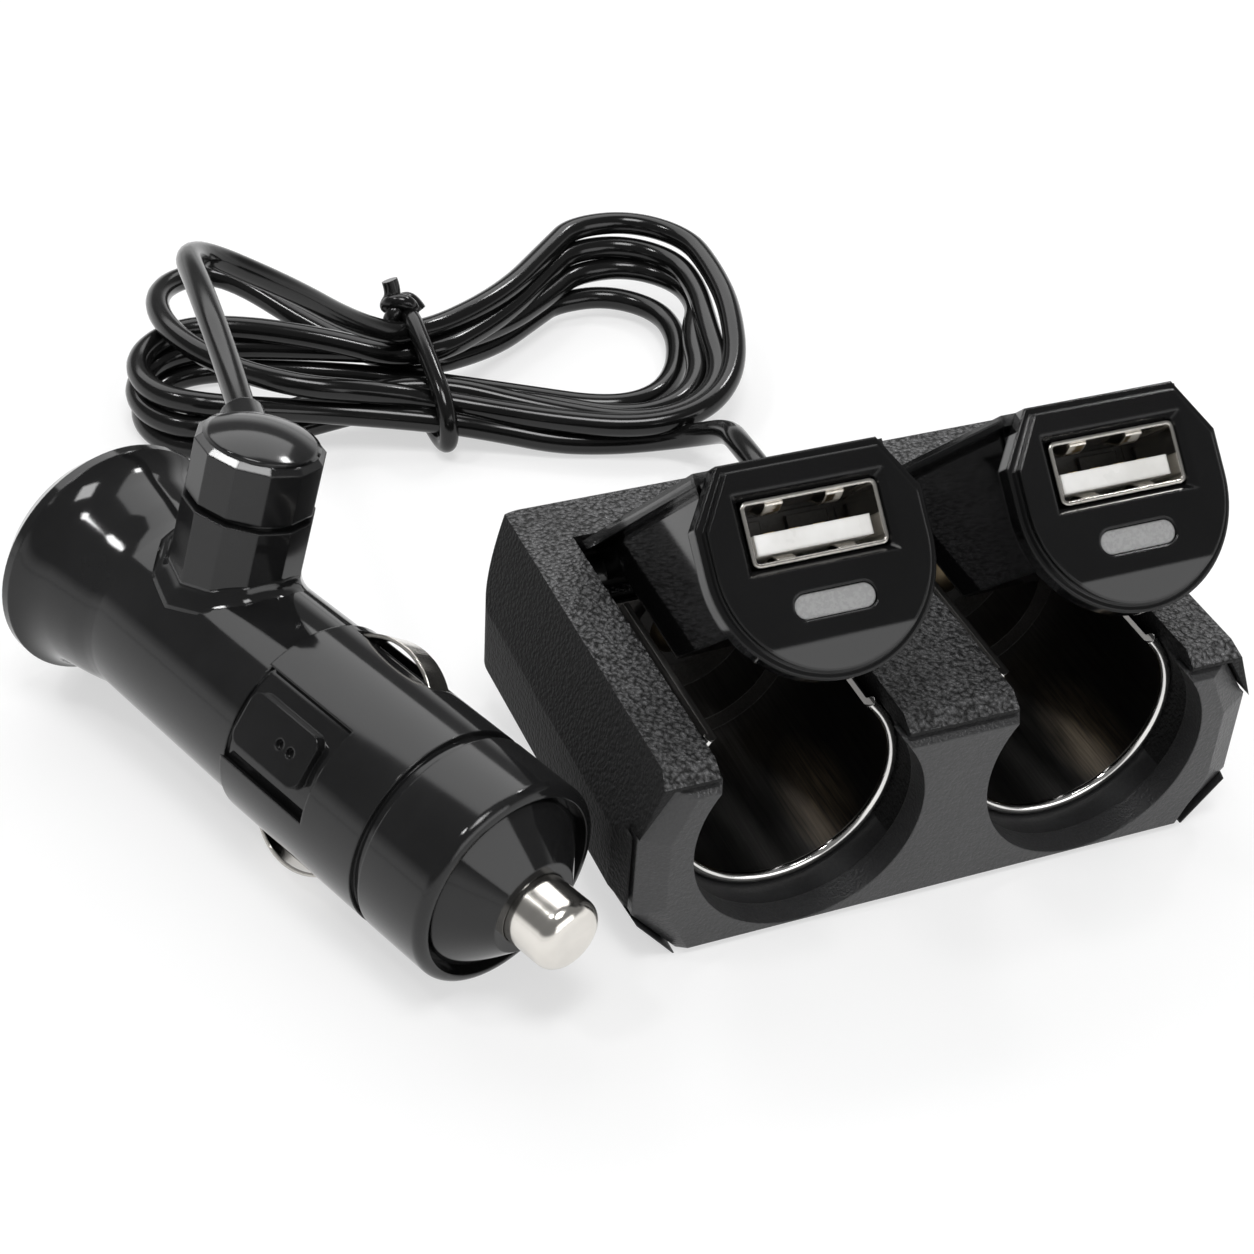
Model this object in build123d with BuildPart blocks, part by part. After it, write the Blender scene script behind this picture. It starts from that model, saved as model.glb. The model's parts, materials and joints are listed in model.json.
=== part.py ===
"""Two-way car lighter-socket splitter: a casing with two sockets under hinged
lids that carry charging ports, a tied cord and a lighter plug.

Millimetres, +Z up. X runs across the casing, the sockets face -Y, and the
origin is the middle of the casing's base, which stands on the floor.
"""
import os
from math import asin, atan, cos, degrees, radians, sin, tan

from build123d import *

os.makedirs("parts", exist_ok=True)

# Casing
casing_width = 65.2
casing_depth = 42.8
deck_width = 58.8
side_top = 13.5
split_height = 6.2
shell_front = 0.5
bevel_drop = 1.1
bevel_run = 1.6
cheek_depth = 5.0
cheek_inset = 0.8
rear_corner = 5.0
wall = 1.6
foot_width = 55.2
foot_side_height = 5.6
foot_inset = 0.4
foot_depth = 34.2
foot_corner_depth = 29.8
foot_corner_width = 5.4
rear_floor = 1.2

# Front plate
plate_thickness = 2.8
plate_base_width = 54.1
plate_width = 63.5
plate_top_width = 57.2
plate_side_low = 5.6
plate_side_high = 15.0
plate_height = 19.9
plate_seam = 0.3
facet_inset = 2.8
facet_edge = 0.7
facet_depth = 1.2
notch_radius = 11.6

# Sockets
socket_pitch = 30.0
socket_height = 12.4
bore_radius = 10.8
bore_length = 20.8
throat_radius = 8.9
throat_length = 5.5
liner_sheet = 0.45
liner_floor = 0.5
liner_clear = 0.1
rim_roll = 0.5
rim_depth = 5.7
slot_half = 7.4
slot_floor = 16.2
floor_hole = 3.6
insulator_flange = 4.7
insulator_thickness = 1.0
insulator_tail = 0.9
contact_head = 3.0
contact_height = 1.4
contact_shank = 1.6
contact_tail = 0.9
seat_clear = 0.05

# Hinges and lids, sized as if closed and then swung open
hinge_depth = 34.6
hinge_drop = 3.0
hinge_radius = 1.8
hinge_half = 8.8
pin_radius = 0.9
pin_running = 0.05
pin_seat = 2.2
lid_open = 45.0
lid_top = 21.6
deck_clear = 0.1
recess_half = 9.35
recess_depth = 36.8
arm_half = 7.15
arm_height = 14.0
arm_floor_depth = 19.2
arm_wall = 0.55
arm_floor = 1.0
arm_cavity_depth = 15.0
neck_depth = 28.5
neck_drop = 1.15
relief_clear = 0.35
cover_half = 9.05
cover_thickness = 1.0
cover_end = 34.1
cover_gap = 0.25
face_gap = 0.2
face_base = 1.8
face_panel = 0.8
face_step = 0.8
disc_radius = 10.75
disc_shoulder = 4.2
disc_flat_half = 7.6
chin_height = 3.6
chin_drop = 0.7
hook_depth = 4.2
hook_width = 0.6
hook_height = 1.5
hook_nose = 0.45
hook_nose_length = 1.5
hook_clear = 0.1
window_margin = 0.5

# Charging ports
port_width = 12.9
port_height = 5.8
port_drop = 6.4
port_sheet = 0.35
port_length = 13.6
port_setback = 0.4
port_corner = 0.7
port_clear = 0.1
port_bevel = 0.75
tongue_width = 11.0
tongue_thickness = 1.8
tongue_gap = 0.75
tongue_setback = 0.8
tongue_block = 4.0
pad_width = 1.0
pad_thickness = 0.15
pad_length = 7.4
pad_pitch = 2.4
board_width = 12.6
board_length = 12.4
board_thickness = 1.2
leg_width = 2.0
light_drop = 4.1
light_length = 7.6
light_height = 2.15
light_setback = 0.15

# Fasteners, board and strain relief in the casing
screw_radius = 1.1
screw_length = 9.0
screw_head_radius = 2.1
screw_head_height = 1.5
screw_clear = 0.2
screw_bite = 0.03
screw_slot = 0.7
mid_screw_depths = (8.0, 27.0)
rear_screw_x = 24.0
rear_screw_depth = 38.6
boss_radius = 2.4
wiring_top = 15.0
wiring_width = 58.0
wiring_front = 33.6
junction_width = 46.0
junction_height = 8.0
junction_thickness = 1.6
boot_x = 6.0
boot_z = 10.6
boot_flange = 4.2
boot_flange_thickness = 1.2
boot_neck = 2.9
boot_root = 3.2
boot_tip = 2.2
boot_length = 11.0
boot_groove = 0.45
boot_grooves = 4

# Lighter plug, lying beside the casing
plug_place_x = -46.15
plug_place_y = -9.66
plug_turn = 21.8
grip_rear = -54.2
grip_rim = 12.6
grip_rim_s = -51.4
grip_rim_front = 0.4
grip_rim_back = 0.6
grip_rim_bevel = 1.9
grip_waist = 9.7
grip_waist_s = -41.0
grip_front = 10.0
sleeve_rear = -19.5
sleeve_radius = 10.5
spigot_radius = 9.7
spigot_end = -2.2
grip_bore = 7.6
fuse_seat = -28.0
nose_end = 8.9
nose_round = 1.0
groove_half = 0.6
groove_drop = 0.55
sleeve_clear = 0.06
nose_web = 1.0
nose_web_hole = 5.0
collar_rear = 2.0
collar_radius = 8.67
collar_rim = 8.4
collar_mouth = 9.4
collar_gap_depth = 2.4
collar_nose = 4.7
collar_front = 12.2
tip_radius = 3.6
tip_running = 0.06
tip_end = 17.5
tip_round = 1.5
tip_flange = 5.2
tip_flange_thickness = 1.1
chamber_radius = 5.6
chamber_front = 10.0
spring_wire = 0.4
spring_radius = 4.2
spring_turns = 4
fuse_radius = 2.6
fuse_cap_radius = 3.0
fuse_cap_length = 5.2
tab_angle = 143.0
tab_length = 9.4
tab_width = 5.5
tab_middle = -13.9
tab_corner = 1.2
tab_rise = 0.8
dimple_radius = 0.5
dimple_pitch = 1.5
window_front = -7.7
window_width = 9.7
leaf_angles = (53.0, 233.0)
leaf_rear = -18.2
leaf_front = -8.0
leaf_foot = 10.1
leaf_bow = 12.0
leaf_sheet = 0.4
leaf_width = 3.0
leaf_slot_clear = 0.25
boss_angle = 75.5
boss_s = -33.7
boss_facets = 12
boss_facet_radius = 6.45
boss_top = 16.25
nut_radius = 6.3
nut_neck = 5.2
nut_base = 17.05
nut_shoulder = 22.9
nut_chamfer = 0.6
nut_top = 24.0
nut_eye = 2.2
outlet_level = 20.6
outlet_turn = 152.0
outlet_radius = 2.3
outlet_reach = 8.6

# Cord
cord_diameter = 2.8
hank_height = 9.0
tie_diameter = 2.6
tie_clear = 0.1
tie_x = -21.0
tie_front = 63.4
tie_back = 80.6

# Worked out from the sizes above
front = -casing_depth / 2
rear = casing_depth / 2
deck_height = lid_top + deck_clear
bore_end = rim_depth + bore_length
throat_end = bore_end + throat_length
liner_end = throat_end + liner_floor
liner_radius = bore_radius + liner_sheet
liner_top = lid_top - cover_thickness - cover_gap
hinge_y = front + hinge_depth
hinge_height = lid_top - hinge_drop
neck_low = hinge_height - neck_drop
socket_spots = [(side * socket_pitch / 2, socket_height) for side in (-1, 1)]
sides = {"left": -socket_pitch / 2, "right": socket_pitch / 2}
screw_seat = split_height - rear_floor
screw_spots = [(0, front + depth) for depth in mid_screw_depths]
screw_spots += [(side * rear_screw_x, front + rear_screw_depth) for side in (-1, 1)]
cord_radius = cord_diameter / 2
port_z = lid_top - port_drop
light_z = socket_height - light_drop
face_front = -(face_gap + face_base + face_panel)
port_front = face_front + port_setback
port_back = port_front + port_length
arm_low = lid_top - arm_height
disc_low = socket_height - disc_radius
cavity_low = arm_low + arm_floor
cavity_half = arm_half - arm_wall
arm_top = lid_top - cover_thickness
hook_low = arm_top - hook_height - hook_clear
lid_swing = (
    Location((0, hinge_y, hinge_height))
    * Location((0, 0, 0), (-lid_open, 0, 0))
    * Location((0, -hinge_y, -hinge_height))
)
rim_touch = grip_rim_s + grip_rim_front
nose_touch = nose_end - nose_round
plug_dip = degrees(atan((grip_rim - sleeve_radius) / (nose_touch - rim_touch)))
plug_place_z = sleeve_radius * cos(radians(plug_dip)) + nose_touch * sin(radians(plug_dip))
plug_axis = Vector(
    sin(radians(plug_turn)) * cos(radians(plug_dip)),
    -cos(radians(plug_turn)) * cos(radians(plug_dip)),
    -sin(radians(plug_dip)),
)
plug_across = Vector(cos(radians(plug_turn)), sin(radians(plug_turn)), 0)
plug_frame = Plane((plug_place_x, plug_place_y, plug_place_z), plug_across, plug_axis)
plug_line = Axis(plug_frame.origin, plug_axis)


def facing(depth):
    """Plane across the casing at a depth behind the front plate's face; x right, z up."""
    return Plane.XZ.offset(-(front + depth))


def lid_facing(depth):
    return Plane(lid_swing * facing(depth).location)


def lid_level(height):
    return Plane(lid_swing * Plane.XY.offset(height).location)


def lid_side(x):
    return Plane(lid_swing * Plane.YZ.offset(x).location)


def on_plug(plane):
    """A plane given in the plug's own frame, whose z runs along its axis to the tip."""
    return Plane(plug_frame.location * plane.location)


def plug_radial(angle, s, radius):
    """Plane square to a radius of the plug; x runs towards the plug's tip."""
    out = (cos(radians(angle)), sin(radians(angle)), 0)
    return on_plug(Plane((radius * out[0], radius * out[1], s), (0, 0, 1), out))


def plug_slice(angle):
    """Plane through the plug's axis; x runs towards the tip and y outwards."""
    out = (sin(radians(angle)), -cos(radians(angle)), 0)
    return on_plug(Plane((0, 0, 0), (0, 0, 1), out))


def save(piece, node):
    piece.part.label = node
    export_step(piece.part, f"parts/{node}.step")


plug_section = on_plug(Plane.XZ)


def mirrored(points):
    """The right half of an outline, foot to head, and its mirror image back down."""
    return points + [(-x, z) for x, z in reversed(points)]


plate_half = [
    (plate_base_width / 2, 0),
    (plate_width / 2, plate_side_low),
    (plate_width / 2, plate_side_high),
    (plate_top_width / 2, plate_height),
]
plate_face_half = [
    (plate_base_width / 2 - facet_edge, facet_edge),
    (plate_width / 2 - facet_inset, plate_side_low + facet_edge),
    (plate_width / 2 - facet_inset, plate_side_high - facet_edge),
    (plate_top_width / 2 - facet_inset * 0.7, plate_height - facet_edge),
]

# Upper shell: deck, rib and strips, with the socket channels and lid recesses
with BuildPart() as upper_shell:
    with BuildSketch(facing(shell_front)):
        with BuildLine():
            Polyline(
                *mirrored(
                    [
                        (casing_width / 2, split_height),
                        (casing_width / 2, side_top),
                        (deck_width / 2, deck_height),
                    ]
                ),
                close=True,
            )
        make_face()
    extrude(amount=-(casing_depth - shell_front))
    brow = upper_shell.faces().sort_by(Axis.Y)[0]
    chamfer(brow.edges().sort_by(Axis.Z)[-1], bevel_drop, bevel_run, reference=brow)
    with BuildSketch(Plane.XY) as casing_plan:
        with BuildLine():
            Polyline(
                (-casing_width / 2 + cheek_inset, front),
                (-casing_width / 2, front + cheek_depth),
                (-casing_width / 2, rear),
                (casing_width / 2, rear),
                (casing_width / 2, front + cheek_depth),
                (casing_width / 2 - cheek_inset, front),
                close=True,
            )
        make_face()
        fillet(casing_plan.vertices().group_by(Axis.Y)[-1], rear_corner)
    extrude(amount=2 * deck_height, mode=Mode.INTERSECT)
    with BuildSketch(facing(0)):
        with BuildLine():
            Polyline(*mirrored(plate_half), close=True)
        make_face()
        offset(amount=plate_seam, kind=Kind.INTERSECTION)
    extrude(amount=-plate_thickness, mode=Mode.SUBTRACT)
    with BuildSketch(facing(0)):
        with Locations(*socket_spots):
            Circle(bore_radius + 2 * rim_roll + liner_clear)
    extrude(amount=-(rim_depth + 2 * rim_roll), mode=Mode.SUBTRACT)
    with BuildSketch(facing(0)):
        with Locations(*socket_spots):
            Circle(liner_radius + liner_clear)
    extrude(amount=-(bore_end + liner_sheet + liner_clear), mode=Mode.SUBTRACT)
    with BuildSketch(facing(0)):
        with Locations(*socket_spots):
            Circle(throat_radius + liner_sheet + liner_clear)
    extrude(amount=-wiring_front, mode=Mode.SUBTRACT)
    with BuildSketch(Plane.XY.offset(slot_floor)):
        with Locations(*[(x, front + recess_depth / 2) for x, z in socket_spots]):
            Rectangle(2 * recess_half, recess_depth)
    extrude(amount=deck_height, mode=Mode.SUBTRACT)
    with BuildSketch(Plane.XY):
        with Locations((0, (front + wiring_front + rear - wall) / 2)):
            Rectangle(wiring_width, casing_depth - wall - wiring_front)
    extrude(amount=wiring_top, mode=Mode.SUBTRACT)
    with BuildSketch(Plane.XY.offset(split_height)):
        with Locations(*screw_spots[2:]):
            Circle(boss_radius)
    extrude(amount=wiring_top - split_height)
    with BuildSketch(Plane.XY.offset(split_height)):
        with Locations(*screw_spots):
            Circle(screw_radius + screw_bite)
    extrude(amount=screw_length - rear_floor + screw_clear, mode=Mode.SUBTRACT)
    with BuildSketch(Plane.YZ):
        with Locations((hinge_y, hinge_height)):
            Circle(pin_radius + screw_bite)
    extrude(amount=socket_pitch / 2 + recess_half + pin_seat, both=True, mode=Mode.SUBTRACT)
    with BuildSketch(facing(casing_depth)):
        with Locations((boot_x, boot_z)):
            Circle(boot_neck + seat_clear)
    extrude(amount=2 * wall, mode=Mode.SUBTRACT)
save(upper_shell, "upper_shell")

# Base shell: the tray under the sockets and the raised floor under the wiring
with BuildPart() as base_shell:
    with BuildSketch(facing(shell_front)):
        with BuildLine():
            Polyline(
                *mirrored(
                    [
                        (foot_width / 2, 0),
                        (casing_width / 2 - foot_inset, foot_side_height),
                        (casing_width / 2 - foot_inset, split_height),
                    ]
                ),
                close=True,
            )
        make_face()
    extrude(amount=-(casing_depth - shell_front))
    with BuildSketch(Plane.XY) as base_plan:
        with BuildLine():
            Polyline(
                (-casing_width / 2 + cheek_inset + foot_inset, front),
                (-casing_width / 2 + foot_inset, front + cheek_depth),
                (-casing_width / 2 + foot_inset, rear - foot_inset),
                (casing_width / 2 - foot_inset, rear - foot_inset),
                (casing_width / 2 - foot_inset, front + cheek_depth),
                (casing_width / 2 - cheek_inset - foot_inset, front),
                close=True,
            )
        make_face()
        fillet(base_plan.vertices().group_by(Axis.Y)[-1], rear_corner)
    extrude(amount=2 * split_height, mode=Mode.INTERSECT)
    with BuildSketch(Plane.XY):
        with Locations((0, front + (foot_depth + casing_depth) / 2)):
            Rectangle(casing_width, casing_depth - foot_depth)
        for side in (-1, 1):
            with Locations(
                (
                    side * (casing_width - foot_corner_width) / 2,
                    front + (foot_corner_depth + casing_depth) / 2,
                )
            ):
                Rectangle(foot_corner_width, casing_depth - foot_corner_depth)
    extrude(amount=screw_seat, mode=Mode.SUBTRACT)
    with BuildSketch(facing(0)):
        with BuildLine():
            Polyline(*mirrored(plate_half), close=True)
        make_face()
        offset(amount=plate_seam, kind=Kind.INTERSECTION)
    extrude(amount=-plate_thickness, mode=Mode.SUBTRACT)
    with BuildSketch(facing(0)):
        with Locations(*socket_spots):
            Circle(bore_radius + 2 * rim_roll + liner_clear)
    extrude(amount=-(rim_depth + 2 * rim_roll), mode=Mode.SUBTRACT)
    with BuildSketch(facing(0)):
        with Locations(*socket_spots):
            Circle(liner_radius + liner_clear)
    extrude(amount=-(bore_end + liner_sheet + liner_clear), mode=Mode.SUBTRACT)
    with BuildSketch(facing(0)):
        with Locations(*socket_spots):
            Circle(throat_radius + liner_sheet + liner_clear)
    extrude(amount=-(liner_end + liner_clear), mode=Mode.SUBTRACT)
    with Locations(*[(x, y, 0) for x, y in screw_spots]):
        Cylinder(
            screw_head_radius + screw_clear,
            screw_seat,
            align=(Align.CENTER, Align.CENTER, Align.MIN),
            mode=Mode.SUBTRACT,
        )
        Cylinder(
            screw_radius + screw_clear,
            split_height,
            align=(Align.CENTER, Align.CENTER, Align.MIN),
            mode=Mode.SUBTRACT,
        )
save(base_shell, "base_shell")

# Front plate: facetted bezel with a round notch for each socket
with BuildPart() as front_plate:
    with BuildSketch(facing(facet_depth)):
        with BuildLine():
            Polyline(*mirrored(plate_half), close=True)
        make_face()
    with BuildSketch(facing(0)):
        with BuildLine():
            Polyline(*mirrored(plate_face_half), close=True)
        make_face()
    loft()
    with BuildSketch(facing(facet_depth)):
        with BuildLine():
            Polyline(*mirrored(plate_half), close=True)
        make_face()
    extrude(amount=-(plate_thickness - facet_depth))
    with BuildSketch(facing(0)):
        with Locations(*socket_spots):
            Circle(notch_radius)
    extrude(amount=-plate_thickness, mode=Mode.SUBTRACT)
save(front_plate, "front_plate")

# Pan-head screws that hold the two shells together
with BuildPart() as casing_screws:
    with BuildSketch(Plane.XY.offset(screw_seat - screw_head_height)):
        with Locations(*screw_spots):
            Circle(screw_head_radius)
    extrude(amount=screw_head_height)
    with BuildSketch(Plane.XY.offset(screw_seat)):
        with Locations(*screw_spots):
            Circle(screw_radius)
    extrude(amount=screw_length)
    with BuildSketch(Plane.XY.offset(screw_seat - screw_head_height)):
        with Locations(*screw_spots):
            Rectangle(1.4 * screw_head_radius, screw_slot)
            Rectangle(screw_slot, 1.4 * screw_head_radius)
    extrude(amount=screw_slot, mode=Mode.SUBTRACT)
save(casing_screws, "casing_screws")

# Junction board behind the sockets
with BuildPart() as junction_board:
    with BuildSketch(facing(liner_end + insulator_tail + contact_tail)):
        with Locations((0, split_height + junction_height / 2)):
            Rectangle(junction_width, junction_height)
    extrude(amount=-junction_thickness)
save(junction_board, "junction_board")

# Strain relief: a ribbed boot through the rear wall
with BuildPart() as strain_relief:
    with BuildSketch(Plane.YZ.offset(boot_x)):
        with BuildLine():
            Polyline(
                (rear - wall - boot_flange_thickness, boot_z),
                (rear - wall - boot_flange_thickness, boot_z + boot_flange),
                (rear - wall, boot_z + boot_flange),
                (rear - wall, boot_z + boot_neck),
                (rear, boot_z + boot_neck),
                (rear, boot_z + boot_root),
                (rear + boot_length, boot_z + boot_tip),
                (rear + boot_length, boot_z),
                close=True,
            )
        make_face()
    revolve(axis=Axis((boot_x, 0, boot_z), (0, 1, 0)))
    for groove in range(boot_grooves):
        groove_y = rear + boot_length * (groove + 0.7) / (boot_grooves + 0.6)
        groove_radius = boot_root + (boot_tip - boot_root) * (groove_y - rear) / boot_length
        with BuildSketch(Plane.XZ.offset(-groove_y)):
            with Locations((boot_x, boot_z)):
                Circle(2 * boot_root)
                Circle(groove_radius - boot_groove, mode=Mode.SUBTRACT)
        extrude(amount=-boot_length / (2 * boot_grooves + 2), mode=Mode.SUBTRACT)
save(strain_relief, "strain_relief")

for side, x in sides.items():
    socket_axis = Axis((x, 0, socket_height), (0, 1, 0))

    # Socket liner: drawn cup with a rolled rim, open along the top for the lid's arm
    with BuildPart() as socket_liner:
        with BuildSketch(Plane.YZ.offset(x)):
            with BuildLine():
                Polyline(
                    *[
                        (front + depth, socket_height + radius)
                        for depth, radius in (
                            (rim_depth + rim_roll, bore_radius),
                            (bore_end, bore_radius),
                            (bore_end, throat_radius),
                            (throat_end, throat_radius),
                            (throat_end, floor_hole),
                            (liner_end, floor_hole),
                            (liner_end, throat_radius + liner_sheet),
                            (bore_end + liner_sheet, throat_radius + liner_sheet),
                            (bore_end + liner_sheet, liner_radius),
                            (rim_depth + rim_roll, liner_radius),
                        )
                    ],
                    close=True,
                )
            make_face()
            with Locations((front + rim_depth + rim_roll, socket_height + bore_radius + rim_roll)):
                Circle(rim_roll)
        revolve(axis=socket_axis)
        with BuildSketch(Plane.XY.offset(slot_floor)):
            with Locations((x, front + liner_end / 2)):
                Rectangle(2 * slot_half, 2 * liner_end)
        extrude(amount=deck_height, mode=Mode.SUBTRACT)
        with BuildSketch(Plane.XY.offset(liner_top)):
            with Locations((x, front + liner_end / 2)):
                Rectangle(socket_pitch, 2 * liner_end)
        extrude(amount=deck_height, mode=Mode.SUBTRACT)
    save(socket_liner, f"socket_liner_{side}")

    # Insulating bush in the liner's floor
    with BuildPart() as contact_insulator:
        with BuildSketch(Plane.YZ.offset(x)):
            with BuildLine():
                Polyline(
                    *[
                        (front + depth, socket_height + radius)
                        for depth, radius in (
                            (throat_end - insulator_thickness, contact_shank + seat_clear),
                            (throat_end - insulator_thickness, insulator_flange),
                            (throat_end, insulator_flange),
                            (throat_end, floor_hole - seat_clear),
                            (liner_end + insulator_tail, floor_hole - seat_clear),
                            (liner_end + insulator_tail, contact_shank + seat_clear),
                        )
                    ],
                    close=True,
                )
            make_face()
        revolve(axis=socket_axis)
    save(contact_insulator, f"contact_insulator_{side}")

    # Centre contact: a domed rivet
    with BuildPart() as center_contact:
        with BuildSketch(Plane.YZ.offset(x)):
            head_back = front + throat_end - insulator_thickness
            tail_back = front + liner_end + insulator_tail + contact_tail
            dome_radius = (contact_head**2 + contact_height**2) / (2 * contact_height)
            dome_middle = head_back - contact_height + dome_radius
            dome_half = asin(contact_head / dome_radius) / 2
            with BuildLine():
                Polyline(
                    (head_back - contact_height, socket_height),
                    (tail_back, socket_height),
                    (tail_back, socket_height + contact_shank),
                    (head_back, socket_height + contact_shank),
                    (head_back, socket_height + contact_head),
                )
                ThreePointArc(
                    (head_back, socket_height + contact_head),
                    (dome_middle - cos(dome_half) * dome_radius, socket_height + sin(dome_half) * dome_radius),
                    (head_back - contact_height, socket_height),
                )
            make_face()
        revolve(axis=socket_axis)
    save(center_contact, f"center_contact_{side}")

    # Hinge pin across the lid recess
    with BuildPart() as hinge_pin:
        with BuildSketch(Plane.YZ.offset(x)):
            with Locations((hinge_y, hinge_height)):
                Circle(pin_radius)
        extrude(amount=recess_half + pin_seat, both=True)
    save(hinge_pin, f"hinge_pin_{side}")

    # Lid arm: box for the charging port, scooped below so that the bore stays clear
    with BuildPart() as lid_arm:
        with BuildSketch(lid_side(x)):
            with BuildLine():
                Polyline(
                    (front - face_gap, arm_top),
                    (hinge_y, arm_top),
                    (hinge_y + hinge_radius, hinge_height),
                    (hinge_y, neck_low),
                    (front + neck_depth, neck_low),
                    (front + arm_floor_depth, arm_low),
                    (front - face_gap, arm_low),
                    close=True,
                )
            make_face()
        extrude(amount=arm_half, both=True)
        with BuildSketch(lid_side(x)):
            with Locations((hinge_y, hinge_height)):
                Circle(hinge_radius)
        extrude(amount=hinge_half, both=True)
        with BuildSketch(lid_level(cavity_low)):
            with Locations((x, front + (arm_cavity_depth - face_gap) / 2)):
                Rectangle(2 * cavity_half, arm_cavity_depth + face_gap)
        extrude(amount=arm_height, mode=Mode.SUBTRACT)
        with BuildSketch(lid_side(x)):
            with Locations((front + hook_depth - hook_nose_length / 2, hook_low + hook_height / 2)):
                Rectangle(hook_nose_length + window_margin, hook_height + window_margin / 2)
        extrude(amount=2 * arm_half, both=True, mode=Mode.SUBTRACT)
        with BuildSketch(facing(-casing_depth)):
            with Locations((x, socket_height)):
                Circle(bore_radius + relief_clear)
        extrude(amount=-(casing_depth + bore_end + relief_clear), mode=Mode.SUBTRACT)
        with BuildSketch(facing(-casing_depth)):
            with Locations((x, socket_height)):
                Circle(throat_radius + relief_clear)
        extrude(amount=-(casing_depth + throat_end), mode=Mode.SUBTRACT)
        with BuildSketch(lid_side(x)):
            with Locations((hinge_y, hinge_height)):
                Circle(pin_radius + pin_running)
        extrude(amount=2 * hinge_half, both=True, mode=Mode.SUBTRACT)
    save(lid_arm, f"lid_arm_{side}")

    # Lid cover: the wide plate over the arm, flush with the deck when closed
    with BuildPart() as lid_cover:
        with BuildSketch(lid_level(arm_top)):
            with Locations((x, front + (cover_end - face_gap) / 2)):
                Rectangle(2 * cover_half, cover_end + face_gap)
        extrude(amount=cover_thickness)
    save(lid_cover, f"lid_cover_{side}")

    # Lid face: stepped disc with a sloped chin, the port opening, the light's slot and two snap hooks
    with BuildPart() as lid_face:
        for plane_depth, inset, thickness in (
            (-face_gap, 0, face_base),
            (-face_gap - face_base, face_step, face_panel),
        ):
            radius = disc_radius - inset
            shoulder = socket_height + disc_shoulder - inset / 2
            with BuildSketch(lid_facing(plane_depth)):
                with BuildLine():
                    Polyline(
                        (x + radius, socket_height),
                        (x + radius, shoulder),
                        (x + disc_flat_half - inset / 2, lid_top - inset),
                        (x - disc_flat_half + inset / 2, lid_top - inset),
                        (x - radius, shoulder),
                        (x - radius, socket_height),
                    )
                    ThreePointArc(
                        (x - radius, socket_height),
                        (x, socket_height - radius),
                        (x + radius, socket_height),
                    )
                make_face()
            extrude(amount=thickness)
        with BuildSketch(lid_side(x)):
            with BuildLine():
                Polyline(
                    (front + face_front, disc_low + chin_height),
                    (front + face_front + chin_drop, disc_low),
                    (front + face_front, disc_low),
                    close=True,
                )
            make_face()
        extrude(amount=disc_radius, both=True, mode=Mode.SUBTRACT)
        with BuildSketch(lid_facing(face_front)):
            with Locations((x, port_z)):
                Rectangle(port_width + 2 * port_bevel, port_height + 2 * port_bevel)
        with BuildSketch(lid_facing(face_front + port_bevel)):
            with Locations((x, port_z)):
                Rectangle(port_width + 2 * port_clear, port_height + 2 * port_clear)
        loft(mode=Mode.SUBTRACT)
        with BuildSketch(lid_facing(face_front)):
            with Locations((x, port_z)):
                Rectangle(port_width + 2 * port_clear, port_height + 2 * port_clear)
            with Locations((x, light_z)):
                SlotOverall(light_length + 2 * port_clear, light_height + 2 * port_clear)
        extrude(amount=-(face_base + face_panel), mode=Mode.SUBTRACT)
        for way in (-1, 1):
            hook_x = x + way * (cavity_half - hook_clear - hook_width / 2)
            nose_x = x + way * (cavity_half - hook_clear + hook_nose / 2)
            with BuildSketch(lid_level(hook_low)):
                with Locations((hook_x, front + (hook_depth - face_gap) / 2)):
                    Rectangle(hook_width, hook_depth + face_gap)
                with Locations((nose_x, front + hook_depth - hook_nose_length / 2)):
                    Rectangle(hook_nose, hook_nose_length)
            extrude(amount=hook_height)
    save(lid_face, f"lid_face_{side}")

    # Charging port: folded metal shell with legs to its board
    with BuildPart() as port_shell:
        with BuildSketch(lid_facing(port_front)):
            with Locations((x, port_z)):
                RectangleRounded(port_width, port_height, port_corner)
        extrude(amount=-port_length)
        with BuildSketch(lid_facing(port_front)):
            with Locations((x, port_z)):
                RectangleRounded(
                    port_width - 2 * port_sheet, port_height - 2 * port_sheet, port_corner - port_sheet
                )
        extrude(amount=-(port_length - port_sheet), mode=Mode.SUBTRACT)
        leg_top = port_z - port_height / 2 + port_corner
        for way in (-1, 1):
            with BuildSketch(lid_level(cavity_low + board_thickness)):
                with Locations((x + way * (port_width - port_sheet) / 2, front + port_back - leg_width)):
                    Rectangle(port_sheet, leg_width)
            extrude(amount=leg_top - cavity_low - board_thickness)
    save(port_shell, f"port_shell_{side}")

    # Tongue and rear block inside the port
    tongue_low = port_z - port_height / 2 + port_sheet + tongue_gap
    block_front = port_back - port_sheet - tongue_block
    with BuildPart() as port_tongue:
        with BuildSketch(lid_facing(port_front + tongue_setback)):
            with Locations((x, tongue_low + tongue_thickness / 2)):
                Rectangle(tongue_width, tongue_thickness)
        extrude(amount=-(block_front - port_front - tongue_setback))
        with BuildSketch(lid_facing(block_front)):
            with Locations((x, port_z)):
                Rectangle(
                    port_width - 2 * (port_sheet + port_clear), port_height - 2 * (port_sheet + port_clear)
                )
        extrude(amount=-tongue_block)
    save(port_tongue, f"port_tongue_{side}")

    # Contact strips on the tongue
    with BuildPart() as port_contacts:
        with BuildSketch(lid_level(tongue_low + tongue_thickness)):
            with Locations((x, front + block_front - pad_length / 2)):
                with GridLocations(pad_pitch, 1, 4, 1):
                    Rectangle(pad_width, pad_length)
        extrude(amount=pad_thickness)
    save(port_contacts, f"port_contacts_{side}")

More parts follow.
